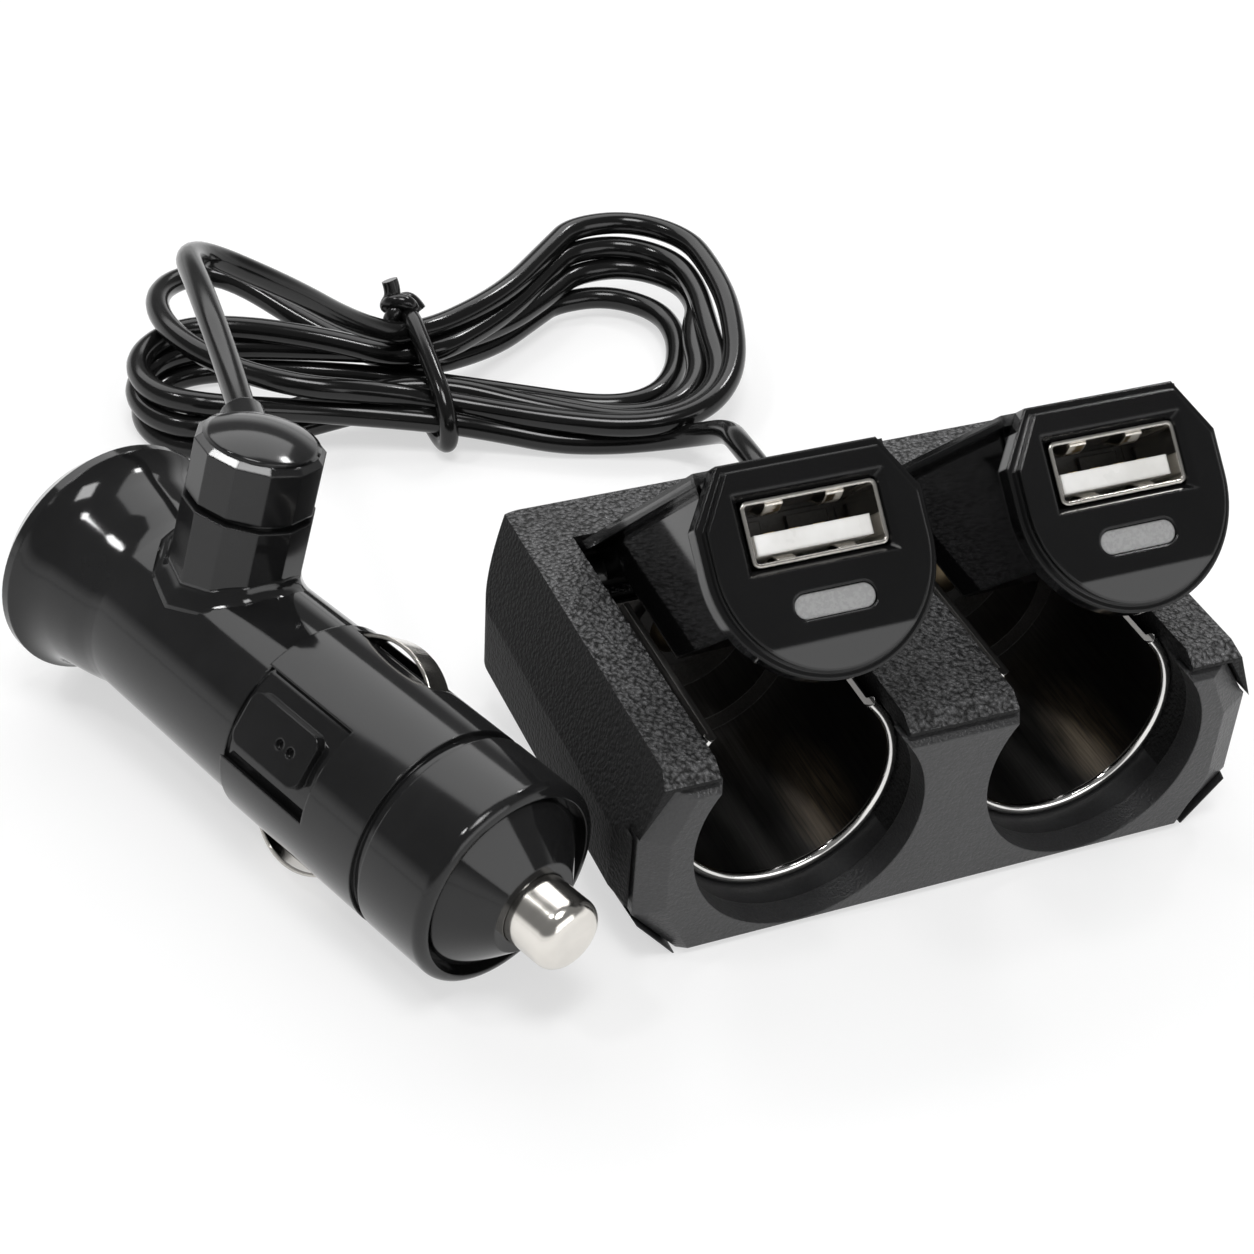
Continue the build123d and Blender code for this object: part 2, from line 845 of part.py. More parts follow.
    # Board under the port
    with BuildPart() as port_board:
        with BuildSketch(lid_level(cavity_low)):
            with Locations((x, front + arm_cavity_depth - port_clear - board_length / 2)):
                Rectangle(board_width, board_length)
        extrude(amount=board_thickness)
    save(port_board, f"port_board_{side}")

    # Light window
    with BuildPart() as light_window:
        with BuildSketch(lid_facing(face_front + light_setback)):
            with Locations((x, light_z)):
                SlotOverall(light_length, light_height)
        extrude(amount=-(face_base + face_panel - light_setback))
    save(light_window, f"light_window_{side}")

# Plug grip: flared rear, waist, spigot under the sleeve, side boss and raised tab
with BuildPart() as plug_grip:
    with BuildSketch(plug_section):
        with BuildLine():
            Polyline(
                (0, grip_rear),
                (grip_rim - grip_rim_bevel, grip_rear),
                (grip_rim, grip_rim_s - grip_rim_back),
                (grip_rim, rim_touch),
            )
            Spline(
                (grip_rim, rim_touch),
                (grip_waist + 0.2 * (grip_rim - grip_waist), (rim_touch + 2 * grip_waist_s) / 3),
                (grip_waist, grip_waist_s),
                tangents=[(-0.8, 0.6), (0, 1)],
            )
            Polyline(
                (grip_waist, grip_waist_s),
                (grip_front, sleeve_rear),
                (spigot_radius, sleeve_rear),
                (spigot_radius, spigot_end),
                (0, spigot_end),
                (0, grip_rear),
            )
        make_face()
    revolve(axis=plug_line)
    with BuildSketch(plug_radial(boss_angle, boss_s, grip_bore)):
        RegularPolygon(boss_facet_radius, boss_facets)
    extrude(amount=boss_top - grip_bore)
    with BuildSketch(plug_radial(boss_angle, boss_s, boss_top)):
        Circle(nut_neck)
    extrude(amount=nut_base - boss_top)
    with BuildSketch(on_plug(Plane.XY.offset(spigot_end))):
        Circle(grip_bore)
    extrude(amount=fuse_seat - spigot_end, mode=Mode.SUBTRACT)
    with BuildSketch(plug_radial(tab_angle, tab_middle, grip_bore + leaf_slot_clear)):
        RectangleRounded(tab_length, tab_width, tab_corner)
    extrude(amount=spigot_radius + tab_rise - grip_bore - leaf_slot_clear)
    with BuildSketch(plug_radial(tab_angle, tab_middle + dimple_pitch, spigot_radius + tab_rise)):
        with GridLocations(dimple_pitch, 1, 2, 1):
            Circle(dimple_radius)
    extrude(amount=-dimple_radius, mode=Mode.SUBTRACT)
    for angle in leaf_angles:
        with BuildSketch(plug_radial(angle, (leaf_rear + leaf_front) / 2, grip_bore / 2)):
            Rectangle(leaf_front - leaf_rear + 2 * leaf_slot_clear, leaf_width + 2 * leaf_slot_clear)
        extrude(amount=sleeve_radius, mode=Mode.SUBTRACT)
save(plug_grip, "plug_grip")

# Plug sleeve: window over the tab, slots for the side contacts, groove and rounded nose
with BuildPart() as plug_sleeve:
    with BuildSketch(plug_section) as sleeve_face:
        with BuildLine():
            Polyline(
                (spigot_radius + sleeve_clear, sleeve_rear),
                (sleeve_radius, sleeve_rear),
                (sleeve_radius, -groove_half),
                (sleeve_radius - groove_drop, -groove_half),
                (sleeve_radius - groove_drop, groove_half),
                (sleeve_radius, groove_half),
                (sleeve_radius, nose_end),
                (collar_mouth, nose_end),
                (collar_mouth, nose_end - collar_gap_depth),
                (collar_radius + sleeve_clear, nose_end - collar_gap_depth),
                (collar_radius + sleeve_clear, collar_rear),
                (nose_web_hole, collar_rear),
                (nose_web_hole, collar_rear - nose_web),
                (spigot_radius + sleeve_clear, collar_rear - nose_web),
                close=True,
            )
        make_face()
    revolve(axis=plug_line)
    nose = plug_sleeve.edges().filter_by(GeomType.CIRCLE).sort_by(plug_line)[-2:]
    fillet(nose.sort_by(SortBy.RADIUS)[-1], nose_round)
    with BuildSketch(plug_radial(tab_angle, (sleeve_rear + window_front) / 2, grip_bore)):
        Rectangle(window_front - sleeve_rear, window_width)
    extrude(amount=sleeve_radius, mode=Mode.SUBTRACT)
    for angle in leaf_angles:
        with BuildSketch(plug_radial(angle, (leaf_rear + leaf_front) / 2, grip_bore)):
            Rectangle(leaf_front - leaf_rear + 2 * leaf_slot_clear, leaf_width + 2 * leaf_slot_clear)
        extrude(amount=sleeve_radius, mode=Mode.SUBTRACT)
save(plug_sleeve, "plug_sleeve")

# Tip collar: cone that guides the tip and holds it in
with BuildPart() as tip_collar:
    with BuildSketch(plug_section):
        with BuildLine():
            Polyline(
                (chamber_radius, collar_rear),
                (collar_radius, collar_rear),
                (collar_radius, collar_rim),
                (collar_nose, collar_front),
                (tip_radius + tip_running, collar_front),
                (tip_radius + tip_running, chamber_front),
                (chamber_radius, chamber_front),
                close=True,
            )
        make_face()
    revolve(axis=plug_line)
save(tip_collar, "tip_collar")

# Contact tip: sprung plunger
with BuildPart() as contact_tip:
    with BuildSketch(plug_section):
        with BuildLine():
            Polyline(
                (0, tip_end),
                (0, chamber_front - tip_flange_thickness - seat_clear),
                (tip_flange, chamber_front - tip_flange_thickness - seat_clear),
                (tip_flange, chamber_front - seat_clear),
                (tip_radius, chamber_front - seat_clear),
                (tip_radius, tip_end - tip_round),
            )
            RadiusArc((tip_radius, tip_end - tip_round), (tip_radius - tip_round, tip_end), -tip_round)
            Line((tip_radius - tip_round, tip_end), (0, tip_end))
        make_face()
    revolve(axis=plug_line)
save(contact_tip, "contact_tip")

# Tip spring
spring_low = collar_rear + spring_wire
spring_high = chamber_front - tip_flange_thickness - seat_clear - spring_wire
with BuildPart() as tip_spring:
    with BuildLine() as coil:
        Helix(
            (spring_high - spring_low) / spring_turns,
            spring_high - spring_low,
            spring_radius,
            center=plug_frame.origin + plug_axis * spring_low,
            direction=plug_axis,
        )
    with BuildSketch(Plane(coil.line @ 0, z_dir=coil.line % 0)):
        RegularPolygon(spring_wire, 6)
    sweep(is_frenet=True)
save(tip_spring, "tip_spring")

# Fuse: glass tube between two end caps
with BuildPart() as fuse_tube:
    with BuildSketch(on_plug(Plane.XY.offset(fuse_seat + fuse_cap_length))):
        Circle(fuse_radius)
    extrude(amount=collar_rear - fuse_seat - 2 * fuse_cap_length)
save(fuse_tube, "fuse_tube")

with BuildPart() as fuse_caps:
    for cap_s in (fuse_seat, collar_rear - fuse_cap_length):
        with BuildSketch(on_plug(Plane.XY.offset(cap_s))):
            Circle(fuse_cap_radius)
        extrude(amount=fuse_cap_length)
save(fuse_caps, "fuse_caps")

# Side contacts: bowed leaf springs in the sleeve's slots
leaf_middle = (leaf_rear + leaf_front) / 2
for node, angle in zip(("side_contact_upper", "side_contact_lower"), leaf_angles):
    with BuildPart() as side_contact:
        with BuildSketch(plug_slice(angle)):
            with BuildLine():
                ThreePointArc((leaf_rear, leaf_foot), (leaf_middle, leaf_bow), (leaf_front, leaf_foot))
                Line((leaf_front, leaf_foot), (leaf_front, leaf_foot - leaf_sheet))
                ThreePointArc(
                    (leaf_front, leaf_foot - leaf_sheet),
                    (leaf_middle, leaf_bow - leaf_sheet),
                    (leaf_rear, leaf_foot - leaf_sheet),
                )
                Line((leaf_rear, leaf_foot - leaf_sheet), (leaf_rear, leaf_foot))
            make_face()
        extrude(amount=leaf_width / 2, both=True)
    save(side_contact, node)

# Cord nut on the boss: facetted, with a chamfered rim, a low dome and a cord outlet at its back
nut_line = plug_radial(boss_angle, boss_s, 0)
outlet_way = nut_line.x_dir * cos(radians(outlet_turn)) + nut_line.y_dir * sin(radians(outlet_turn))
outlet_root = nut_line.origin + nut_line.z_dir * outlet_level
with BuildPart() as cord_nut:
    with BuildSketch(plug_radial(boss_angle, boss_s, nut_base)):
        RegularPolygon(nut_radius, boss_facets)
    extrude(amount=nut_shoulder - nut_base)
    chamfer(cord_nut.faces().sort_by(Axis(nut_line.origin, nut_line.z_dir))[-1].edges(), nut_chamfer)
    with BuildSketch(plug_radial(boss_angle, boss_s, nut_shoulder)):
        RegularPolygon(nut_radius - nut_chamfer - seat_clear, boss_facets)
    with BuildSketch(plug_radial(boss_angle, boss_s, nut_top)):
        RegularPolygon(nut_eye, boss_facets)
    loft()
    with BuildSketch(Plane(outlet_root, z_dir=outlet_way)):
        Circle(outlet_radius)
    extrude(amount=outlet_reach)
save(cord_nut, "cord_nut")


def cord_run(route):
    """Straight runs joined by tangent arcs as wide as the shorter run allows."""
    points = [Vector(*point) for point in route]
    radii = []
    for before, here, after in zip(points, points[1:], points[2:]):
        turn = radians((here - before).get_angle(after - here))
        shorter = min((here - before).length, (after - here).length)
        radii.append(0.45 * shorter / tan(turn / 2))
    print("cord radii", [round(radius, 1) for radius in radii])
    return radii


# Cord lead from the nut's outlet over to the hank's tie
outlet_mouth = outlet_root + outlet_way * outlet_reach
lead_route = [
    tuple(outlet_mouth),
    tuple(outlet_mouth + outlet_way * 8),
    (-51.2, 52.5, 33.0),
    (-49.8, 67.5, 30.5),
    (-37.5, 70.0, 21.5),
    (-25.5, 74.5, 8.6),
]
lead_radii = cord_run(lead_route)
with BuildPart() as cord_lead:
    with BuildLine() as lead_line:
        FilletPolyline(*lead_route, radius=lead_radii)
    with BuildSketch(Plane(lead_line.line @ 0, z_dir=lead_line.line % 0)):
        Circle(cord_radius)
    sweep()
save(cord_lead, "cord_lead")

# Cord tail from the strain relief to the hank
tail_route = [
    (boot_x, rear + boot_length, boot_z),
    (boot_x, rear + boot_length + 9, boot_z),
    (4.5, 50.0, 7.6),
    (-0.5, 57.0, 4.6),
    (-8.0, 63.0, 4.4),
]
tail_radii = cord_run(tail_route)
with BuildPart() as cord_tail:
    with BuildLine() as tail_line:
        FilletPolyline(*tail_route, radius=tail_radii)
    with BuildSketch(Plane(tail_line.line @ 0, z_dir=tail_line.line % 0)):
        Circle(cord_radius)
    sweep()
save(cord_tail, "cord_tail")

# Hank: the outer shape of the tied loops, notched below for the tie
with BuildPart() as cord_hank:
    with BuildSketch(Plane.XY):
        with BuildLine():
            Spline(
                (tie_x, tie_front + tie_diameter),
                (-4.0, 56.5),
                (12.0, 60.0),
                (19.0, 74.0),
                (14.0, 95.0),
                (tie_x, tie_back - 1.7 * tie_diameter),
                (-40.0, 103.0),
                (-50.0, 96.0),
                (-52.5, 81.0),
                (-42.0, 70.0),
                periodic=True,
            )
        make_face()
    extrude(amount=hank_height)
    with BuildSketch(Plane.XY):
        with Locations((tie_x, (tie_front + tie_back) / 2)):
            Rectangle(tie_diameter + 2 * tie_clear, 2 * (tie_back - tie_front))
    extrude(amount=tie_diameter + tie_clear, mode=Mode.SUBTRACT)
save(cord_hank, "cord_hank")

# Tie round the hank's waist
tie_low = tie_diameter / 2
tie_high = hank_height + tie_clear + tie_diameter / 2
with BuildPart() as hank_tie:
    with BuildLine(Plane.YZ.offset(tie_x)) as tie_line:
        FilletPolyline(
            (tie_front, tie_low),
            (tie_back, tie_low),
            (tie_back, tie_high),
            (tie_front, tie_high),
            radius=tie_diameter,
            close=True,
        )
    with BuildSketch(Plane(tie_line.line @ 0, z_dir=tie_line.line % 0)):
        Circle(tie_diameter / 2)
    sweep()
save(hank_tie, "hank_tie")
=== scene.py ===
"""Looks of the lighter-socket splitter: finishes, the tied cord, studio and camera.

Metres, in the part's own frame. Sizes with _mm in their names are millimetres,
and the angles named at the top are degrees.
"""

import json
from math import cos, pi, radians, sin, sqrt

import bpy
from mathutils import Matrix, Vector


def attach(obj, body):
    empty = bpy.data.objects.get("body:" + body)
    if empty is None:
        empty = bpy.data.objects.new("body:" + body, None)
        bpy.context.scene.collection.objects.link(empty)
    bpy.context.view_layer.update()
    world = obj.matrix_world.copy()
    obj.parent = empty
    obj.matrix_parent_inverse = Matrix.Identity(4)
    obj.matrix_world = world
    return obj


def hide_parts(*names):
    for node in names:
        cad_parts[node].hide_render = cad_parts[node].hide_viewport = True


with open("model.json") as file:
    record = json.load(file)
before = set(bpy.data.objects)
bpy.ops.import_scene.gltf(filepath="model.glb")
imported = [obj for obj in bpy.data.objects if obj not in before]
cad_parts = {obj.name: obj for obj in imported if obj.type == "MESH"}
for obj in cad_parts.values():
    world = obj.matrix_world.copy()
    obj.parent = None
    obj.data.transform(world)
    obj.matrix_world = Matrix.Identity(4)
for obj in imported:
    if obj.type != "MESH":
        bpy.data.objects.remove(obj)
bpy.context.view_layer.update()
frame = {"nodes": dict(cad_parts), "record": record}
nodes = frame["nodes"]

MM = 0.001

# Camera
camera_place_mm = (-101.2, -166.7, 164.7)
camera_yaw = 24.59
camera_pitch = 37.88
camera_roll = 3.91
camera_lens_mm = 71.4
camera_sensor_mm = 36.0
camera_near = 0.01
camera_far = 20.0

# Cord
cord_mm = 2.8
cord_exit_mm = (6.0, 32.4, 10.6)
outlet_mm = (-52.7, 31.4, 31.8)
outlet_bend_mm = (-51.9, 39.3, 31.6)
left_fold_angles = (252, 207, 162, 117, 72)
tall_fold_angles = (80, 125, 170)
far_fold_angles = (112, 67, 22, -20)
near_fold_angles = (-25, -70, -112)
tie_mm = 2.2
tie_x_mm = -21.0
knot_mm = 0.9 * tie_mm
knot_place_mm = (tie_x_mm - 0.6, 77.6, 11.0)
knot_points = 14
knot_step = 40
knot_waves = 1.5
knot_reach_mm = 1.6
knot_swell_mm = 0.5
knot_sway_mm = 0.8
knot_end_mm = ((-0.5, 1.2, 2.0), (-0.9, 1.9, 3.6))

# Sockets
front_face_mm = -21.4
socket_x_mm = 15.0
socket_z_mm = 12.4
rim_depth_mm = 6.2
rim_radius_mm = 11.3
rim_wire_mm = 1.08
rim_opening = 44.0
rim_steps = 36
# A warm patch of colour low on each cup's right
warm_patch_aside_mm = 7.2
warm_patch_y_mm = -4.5
warm_patch_z_mm = 4.6
warm_patch_core_mm = 0.8
warm_patch_reach_mm = 4.2

# Lids, given closed and swung open about the hinge
hinge_y_mm = 13.2
hinge_z_mm = 18.6
lid_open = 45.0

# Charging ports
port_z_mm = 15.2
port_mouth_mm = -2.4
port_block_mm = 6.85
port_width_mm = 12.2
port_height_mm = 5.1
wall_mm = 0.25
wall_clear_mm = 0.05
wall_foot_mm = 0.1
pad_mm = 0.6
pad_width_mm = 4.0
pad_margin_mm = 0.5
pad_left_mm = 0.6
pad_right_mm = 1.0
tab_x_mm = 2.9
tab_half_mm = 0.85
tab_start_mm = 1.0
tab_length_mm = 4.2
tab_bend_share = 0.8
tab_dip_mm = 0.55
tab_sheet_mm = 0.2
tab_clear_mm = 0.02
tab_steps = 8

# Plug
plug_place_mm = (-46.15, -9.66, 10.775)
plug_turn = 21.8
plug_dip = 2.042
grip_radius_mm = 9.84
boss_angle = 75.5
boss_along_mm = -33.7
boss_radius_mm = 6.45
boss_facets = 12
boss_fillet_mm = 1.3
fillet_root_mm = (-0.3, -0.4)
fillet_steps = 8
nut_shoulder_mm = 22.93
dome_radius_mm = 5.62
dome_rise_mm = 1.3
dome_rings = 10
round_steps = 96

# Studio
even_light = 0.34
seen_dim = 0.2
seen_white_below = 0.08
seen_dim_above = 0.26
paper_glow = 0.6
floor_half = 3.0
floor_drop = 0.00002


def set_camera():
    """Stands the camera at the photograph's viewpoint."""
    yaw, pitch, roll = (radians(angle) for angle in (camera_yaw, camera_pitch, camera_roll))
    back = Vector((-sin(yaw) * cos(pitch), -cos(yaw) * cos(pitch), sin(pitch)))
    level = Vector((cos(yaw), -sin(yaw), 0.0))
    upright = back.cross(level)
    right = cos(roll) * level + sin(roll) * upright
    up = cos(roll) * upright - sin(roll) * level
    data = bpy.data.cameras.new("studio_camera")
    data.lens = camera_lens_mm
    data.sensor_width = camera_sensor_mm
    data.clip_start = camera_near
    data.clip_end = camera_far
    camera = bpy.data.objects.new("studio_camera", data)
    turn = Matrix((right, up, back)).transposed().to_4x4()
    camera.matrix_world = Matrix.Translation(Vector(camera_place_mm) * MM) @ turn
    bpy.context.scene.collection.objects.link(camera)
    bpy.context.scene.camera = camera


# Shader helpers


def feed(tree, socket, value):
    """Links a socket to another node's output, or sets its plain value."""
    if isinstance(value, bpy.types.NodeSocket):
        tree.links.new(value, socket)
    else:
        socket.default_value = value


def add_node(tree, kind, **inputs):
    """A shader node with its input sockets set by name; spaces in names are written as _."""
    made = tree.nodes.new(kind)
    for name, value in inputs.items():
        feed(tree, made.inputs[name.replace("_", " ")], value)
    return made


def math_node(tree, operation, *values):
    made = tree.nodes.new("ShaderNodeMath")
    made.operation = operation
    for socket, value in zip(made.inputs, values):
        feed(tree, socket, value)
    return made.outputs[0]


def span(tree, value, low, high, bottom=0.0, top=1.0):
    """Spreads a value that runs from bottom to top over low to high."""
    made = add_node(
        tree, "ShaderNodeMapRange", Value=value, From_Min=bottom, From_Max=top, To_Min=low, To_Max=high
    )
    return made.outputs["Result"]


def noise(tree, place, scale, detail, roughness=0.5):
    return add_node(
        tree, "ShaderNodeTexNoise", Vector=place, Scale=scale, Detail=detail, Roughness=roughness
    ).outputs


def mix_colour(tree, amount, first, second):
    """A colour between two, each a plain colour or another node's colour."""
    mix = tree.nodes.new("ShaderNodeMix")
    mix.data_type = "RGBA"
    tree.links.new(amount, mix.inputs["Factor"])
    for label, colour in (("A", first), ("B", second)):
        socket = [s for s in mix.inputs if s.name == label and s.type == "RGBA"][0]
        feed(tree, socket, colour if isinstance(colour, bpy.types.NodeSocket) else (*colour, 1.0))
    return [s for s in mix.outputs if s.type == "RGBA"][0]


def stretched(tree, place, scales):
    made = tree.nodes.new("ShaderNodeVectorMath")
    made.operation = "MULTIPLY"
    tree.links.new(place, made.inputs[0])
    made.inputs[1].default_value = scales
    return made.outputs[0]


def place_coordinates(tree):
    return tree.nodes.new("ShaderNodeTexCoord").outputs["Object"]


def height_of(tree, vector):
    return add_node(tree, "ShaderNodeSeparateXYZ", Vector=vector).outputs["Z"]


# Effects that the finishes share


def effect(name, inputs, outputs):
    """An empty shader group with float inputs and outputs, and its two end nodes."""
    group = bpy.data.node_groups.new(name, "ShaderNodeTree")
    for label, value in inputs.items():
        socket = group.interface.new_socket(name=label, in_out="INPUT", socket_type="NodeSocketFloat")
        socket.default_value = value
    for label in outputs:
        group.interface.new_socket(name=label, in_out="OUTPUT", socket_type="NodeSocketFloat")
    return group, group.nodes.new("NodeGroupInput").outputs, group.nodes.new("NodeGroupOutput").inputs


def patchy(tree, value, place, scale, detail, low, high):
    """A value made weaker and stronger in broad patches."""
    patches = noise(tree, place, scale, detail)["Fac"]
    return math_node(tree, "MULTIPLY", value, span(tree, patches, low, high, bottom=0.3, top=0.7))


def make_leather_grain():
    """Moulded leather grain: small pebbles with creases between them."""
    tree, given, out = effect("leather_grain", {"Pebbles": 2300.0}, ("Height", "Tone"))
    place = place_coordinates(tree)
    shift = tree.nodes.new("ShaderNodeVectorMath")
    shift.operation = "MULTIPLY_ADD"
    wander = 0.0006
    tree.links.new(noise(tree, place, scale=1300.0, detail=2.0)["Color"], shift.inputs[0])
    shift.inputs[1].default_value = (wander, wander, wander)
    tree.links.new(place, shift.inputs[2])
    pebbles = add_node(tree, "ShaderNodeTexVoronoi", Vector=shift.outputs[0], Scale=given["Pebbles"])
    pebbles.feature = "SMOOTH_F1"
    pebbles.inputs["Smoothness"].default_value = 0.35
    crown = span(tree, pebbles.outputs["Distance"], 1.0, 0.0, bottom=0.1, top=0.75)
    fine_share = 0.5
    fine = math_node(tree, "MULTIPLY", noise(tree, place, scale=6500.0, detail=3.0)["Fac"], fine_share)
    tree.links.new(math_node(tree, "ADD", crown, fine), out["Height"])
    tone = patchy(tree, crown, place, scale=120.0, detail=3.0, low=0.7, high=1.3)
    tree.links.new(tone, out["Tone"])
    return tree


def make_fine_grit():
    """Spark-eroded sand texture."""
    tree, given, out = effect("fine_grit", {"Grains": 3200.0}, ("Height", "Tone"))
    place = place_coordinates(tree)
    grains = noise(tree, place, given["Grains"], detail=2.0, roughness=0.6)["Fac"]
    tree.links.new(grains, out["Height"])
    light = span(tree, grains, 0.25, 0.75, bottom=0.3, top=0.7)
    tone = patchy(tree, light, place, scale=160.0, detail=3.0, low=0.8, high=1.2)
    tree.links.new(tone, out["Tone"])
    return tree


def make_handling():
    """Faint smears and specks of dust on a polished surface."""
    tree, given, out = effect("handling", {"Smears": 70.0}, ("Smear", "Dust", "Ripple"))
    place = place_coordinates(tree)
    smears = noise(tree, place, given["Smears"], detail=5.0, roughness=0.6)["Fac"]
    tree.links.new(span(tree, smears, 0.0, 1.0, bottom=0.35, top=0.75), out["Smear"])
    specks = add_node(tree, "ShaderNodeTexVoronoi", Vector=place, Scale=700.0).outputs["Distance"]
    tree.links.new(span(tree, specks, 1.0, 0.0, bottom=0.02, top=0.09), out["Dust"])
    tree.links.new(noise(tree, place, scale=160.0, detail=1.0)["Fac"], out["Ripple"])
    return tree


def make_drawn_lines():
    """Fine lines along the sockets' depth, left by drawing and brushing."""
    tree, given, out = effect("drawn_lines", {"Lines": 5000.0}, ("Height", "Tone"))
    place = place_coordinates(tree)
    lines = noise(tree, stretched(tree, place, (1.0, 0.03, 1.0)), given["Lines"], detail=3.0)["Fac"]
    tree.links.new(lines, out["Height"])
    light = span(tree, lines, 0.2, 0.8, bottom=0.3, top=0.7)
    tone = patchy(tree, light, place, scale=220.0, detail=4.0, low=0.8, high=1.2)
    tree.links.new(tone, out["Tone"])
    return tree


effects = {
    "leather_grain": make_leather_grain(),
    "fine_grit": make_fine_grit(),
    "handling": make_handling(),
    "drawn_lines": make_drawn_lines(),
}


def place_effect(tree, name, **inputs):
    made = tree.nodes.new("ShaderNodeGroup")
    made.node_tree = effects[name]
    for label, value in inputs.items():
        made.inputs[label].default_value = value
    return made.outputs


# Finishes


def start_finish(name, **settings):
    """A material with its principled shader; settings are plain values on the shader's sockets."""
    finish = bpy.data.materials.new(name)
    finish.use_nodes = True
    tree = finish.node_tree
    shader = tree.nodes["Principled BSDF"]
    for label, value in settings.items():
        shader.inputs[label.replace("_", " ")].default_value = value
    return finish, tree, shader


def shade(tree, tone, colour, low=0.7, high=1.3):
    """A colour made darker and lighter by a tone between 0 and 1."""
    dark, light = ([min(1.0, channel * factor) for channel in colour] for factor in (low, high))
    return mix_colour(tree, span(tree, tone, 0.0, 1.0), dark, light)


def surface(tree, shader, height, strength, depth, edge_mm):
    """Bump over edges that are broken by a small radius."""
    edges = tree.nodes.new("ShaderNodeBevel")
    edges.samples = 4
    edges.inputs["Radius"].default_value = edge_mm * MM
    made = add_node(tree, "ShaderNodeBump", Height=height, Strength=strength, Distance=depth)
    tree.links.new(edges.outputs[0], made.inputs["Normal"])
    tree.links.new(made.outputs[0], shader.inputs["Normal"])


def gritty_plastic(name, colour, strength, depth, rough, specular=0.4, edge_mm=0.2):
    finish, tree, shader = start_finish(name, Specular_IOR_Level=specular)
    grit = place_effect(tree, "fine_grit")
    tree.links.new(shade(tree, grit["Tone"], colour), shader.inputs["Base Color"])
    tree.links.new(span(tree, grit["Tone"], rough[1], rough[0]), shader.inputs["Roughness"])
    surface(tree, shader, grit["Height"], strength, depth, edge_mm)
    return finish


def grained_shell():
    """Leather grain with pale crowns on the deck as painted sparkle highlights, and a wall below it painted
    dark as painted shade, and smoother.
    """
    finish, tree, shader = start_finish("grained_shell", Specular_IOR_Level=0.35)
    grain = place_effect(tree, "leather_grain")
    facing = height_of(tree, tree.nodes.new("ShaderNodeTexCoord").outputs["Normal"])
    deck = span(tree, facing, 0.0, 1.0, bottom=0.5, top=0.8)
    # Painted shade and painted sparkle: the wall is painted much darker than the deck, and the pebble crowns
    # on the upward-facing deck are painted pale.
    wall_painted_shade = shade(tree, grain["Tone"], (0.007, 0.007, 0.0073), 0.8, 1.2)
    deck_painted_sparkle = shade(tree, grain["Tone"], (0.05, 0.05, 0.051), 0.1, 3.4)
    tree.links.new(mix_colour(tree, deck, wall_painted_shade, deck_painted_sparkle), shader.inputs["Base Color"])
    wall_rough = 0.72
    polish = math_node(tree, "MULTIPLY", deck, span(tree, grain["Tone"], 0.36, 0.54))
    tree.links.new(math_node(tree, "SUBTRACT", wall_rough, polish), shader.inputs["Roughness"])
    height = math_node(tree, "MULTIPLY", grain["Height"], span(tree, deck, 0.25, 1.0))
    surface(tree, shader, height, strength=1.0, depth=0.0004, edge_mm=0.4)
    return finish


def polished_plastic(name, colour, rough, specular=0.5, dust=0.05, ripple=0.05, edge_mm=0.25):
    finish, tree, shader = start_finish(name, Specular_IOR_Level=specular)
    marks = place_effect(tree, "handling")
    tone = math_node(tree, "MULTIPLY_ADD", marks["Dust"], dust, marks["Smear"])
    tree.links.new(shade(tree, tone, colour, 0.8, 1.4), shader.inputs["Base Color"])
    tree.links.new(span(tree, marks["Smear"], *rough), shader.inputs["Roughness"])
    surface(tree, shader, marks["Ripple"], ripple, depth=0.00002, edge_mm=edge_mm)
    return finish


def plated_metal(name, colour, rough, edge_mm=0.1):
    finish, tree, shader = start_finish(name, Metallic=1.0)
    marks = place_effect(tree, "handling", Smears=180.0)
    tree.links.new(shade(tree, marks["Smear"], colour, 0.9, 1.05), shader.inputs["Base Color"])
    tree.links.new(span(tree, marks["Smear"], *rough), shader.inputs["Roughness"])
    surface(tree, shader, marks["Ripple"], strength=0.05, depth=0.00001, edge_mm=edge_mm)
    return finish


def socket_metal():
    """Satin-drawn cup, with a warm patch of colour low on its right."""
    finish, tree, shader = start_finish("liner_metal", Metallic=1.0)
    lines = place_effect(tree, "drawn_lines")
    along = stretched(tree, place_coordinates(tree), (1.0, 0.45, 1.0))
    near = []
    for way in (-1, 1):
        spot = tree.nodes.new("ShaderNodeVectorMath")
        spot.operation = "DISTANCE"
        tree.links.new(along, spot.inputs[0])
        middle_mm = (way * socket_x_mm + warm_patch_aside_mm, warm_patch_y_mm, warm_patch_z_mm)
        spot.inputs[1].default_value = Vector(middle_mm) * MM
        near.append(
            span(tree, spot.outputs["Value"], 1.0, 0.0, bottom=warm_patch_core_mm * MM, top=warm_patch_reach_mm * MM)
        )
    # The colour turns warm in a patch low on each cup's right.
    warm_patch = math_node(tree, "MULTIPLY", math_node(tree, "MAXIMUM", *near), lines["Tone"])
    plain = shade(tree, lines["Tone"], (0.12, 0.116, 0.112))
    tree.links.new(mix_colour(tree, warm_patch, plain, (0.75, 0.6, 0.42)), shader.inputs["Base Color"])
    tree.links.new(span(tree, lines["Tone"], 0.28, 0.42), shader.inputs["Roughness"])
    surface(tree, shader, lines["Height"], strength=0.15, depth=0.00002, edge_mm=0.05)
    return finish


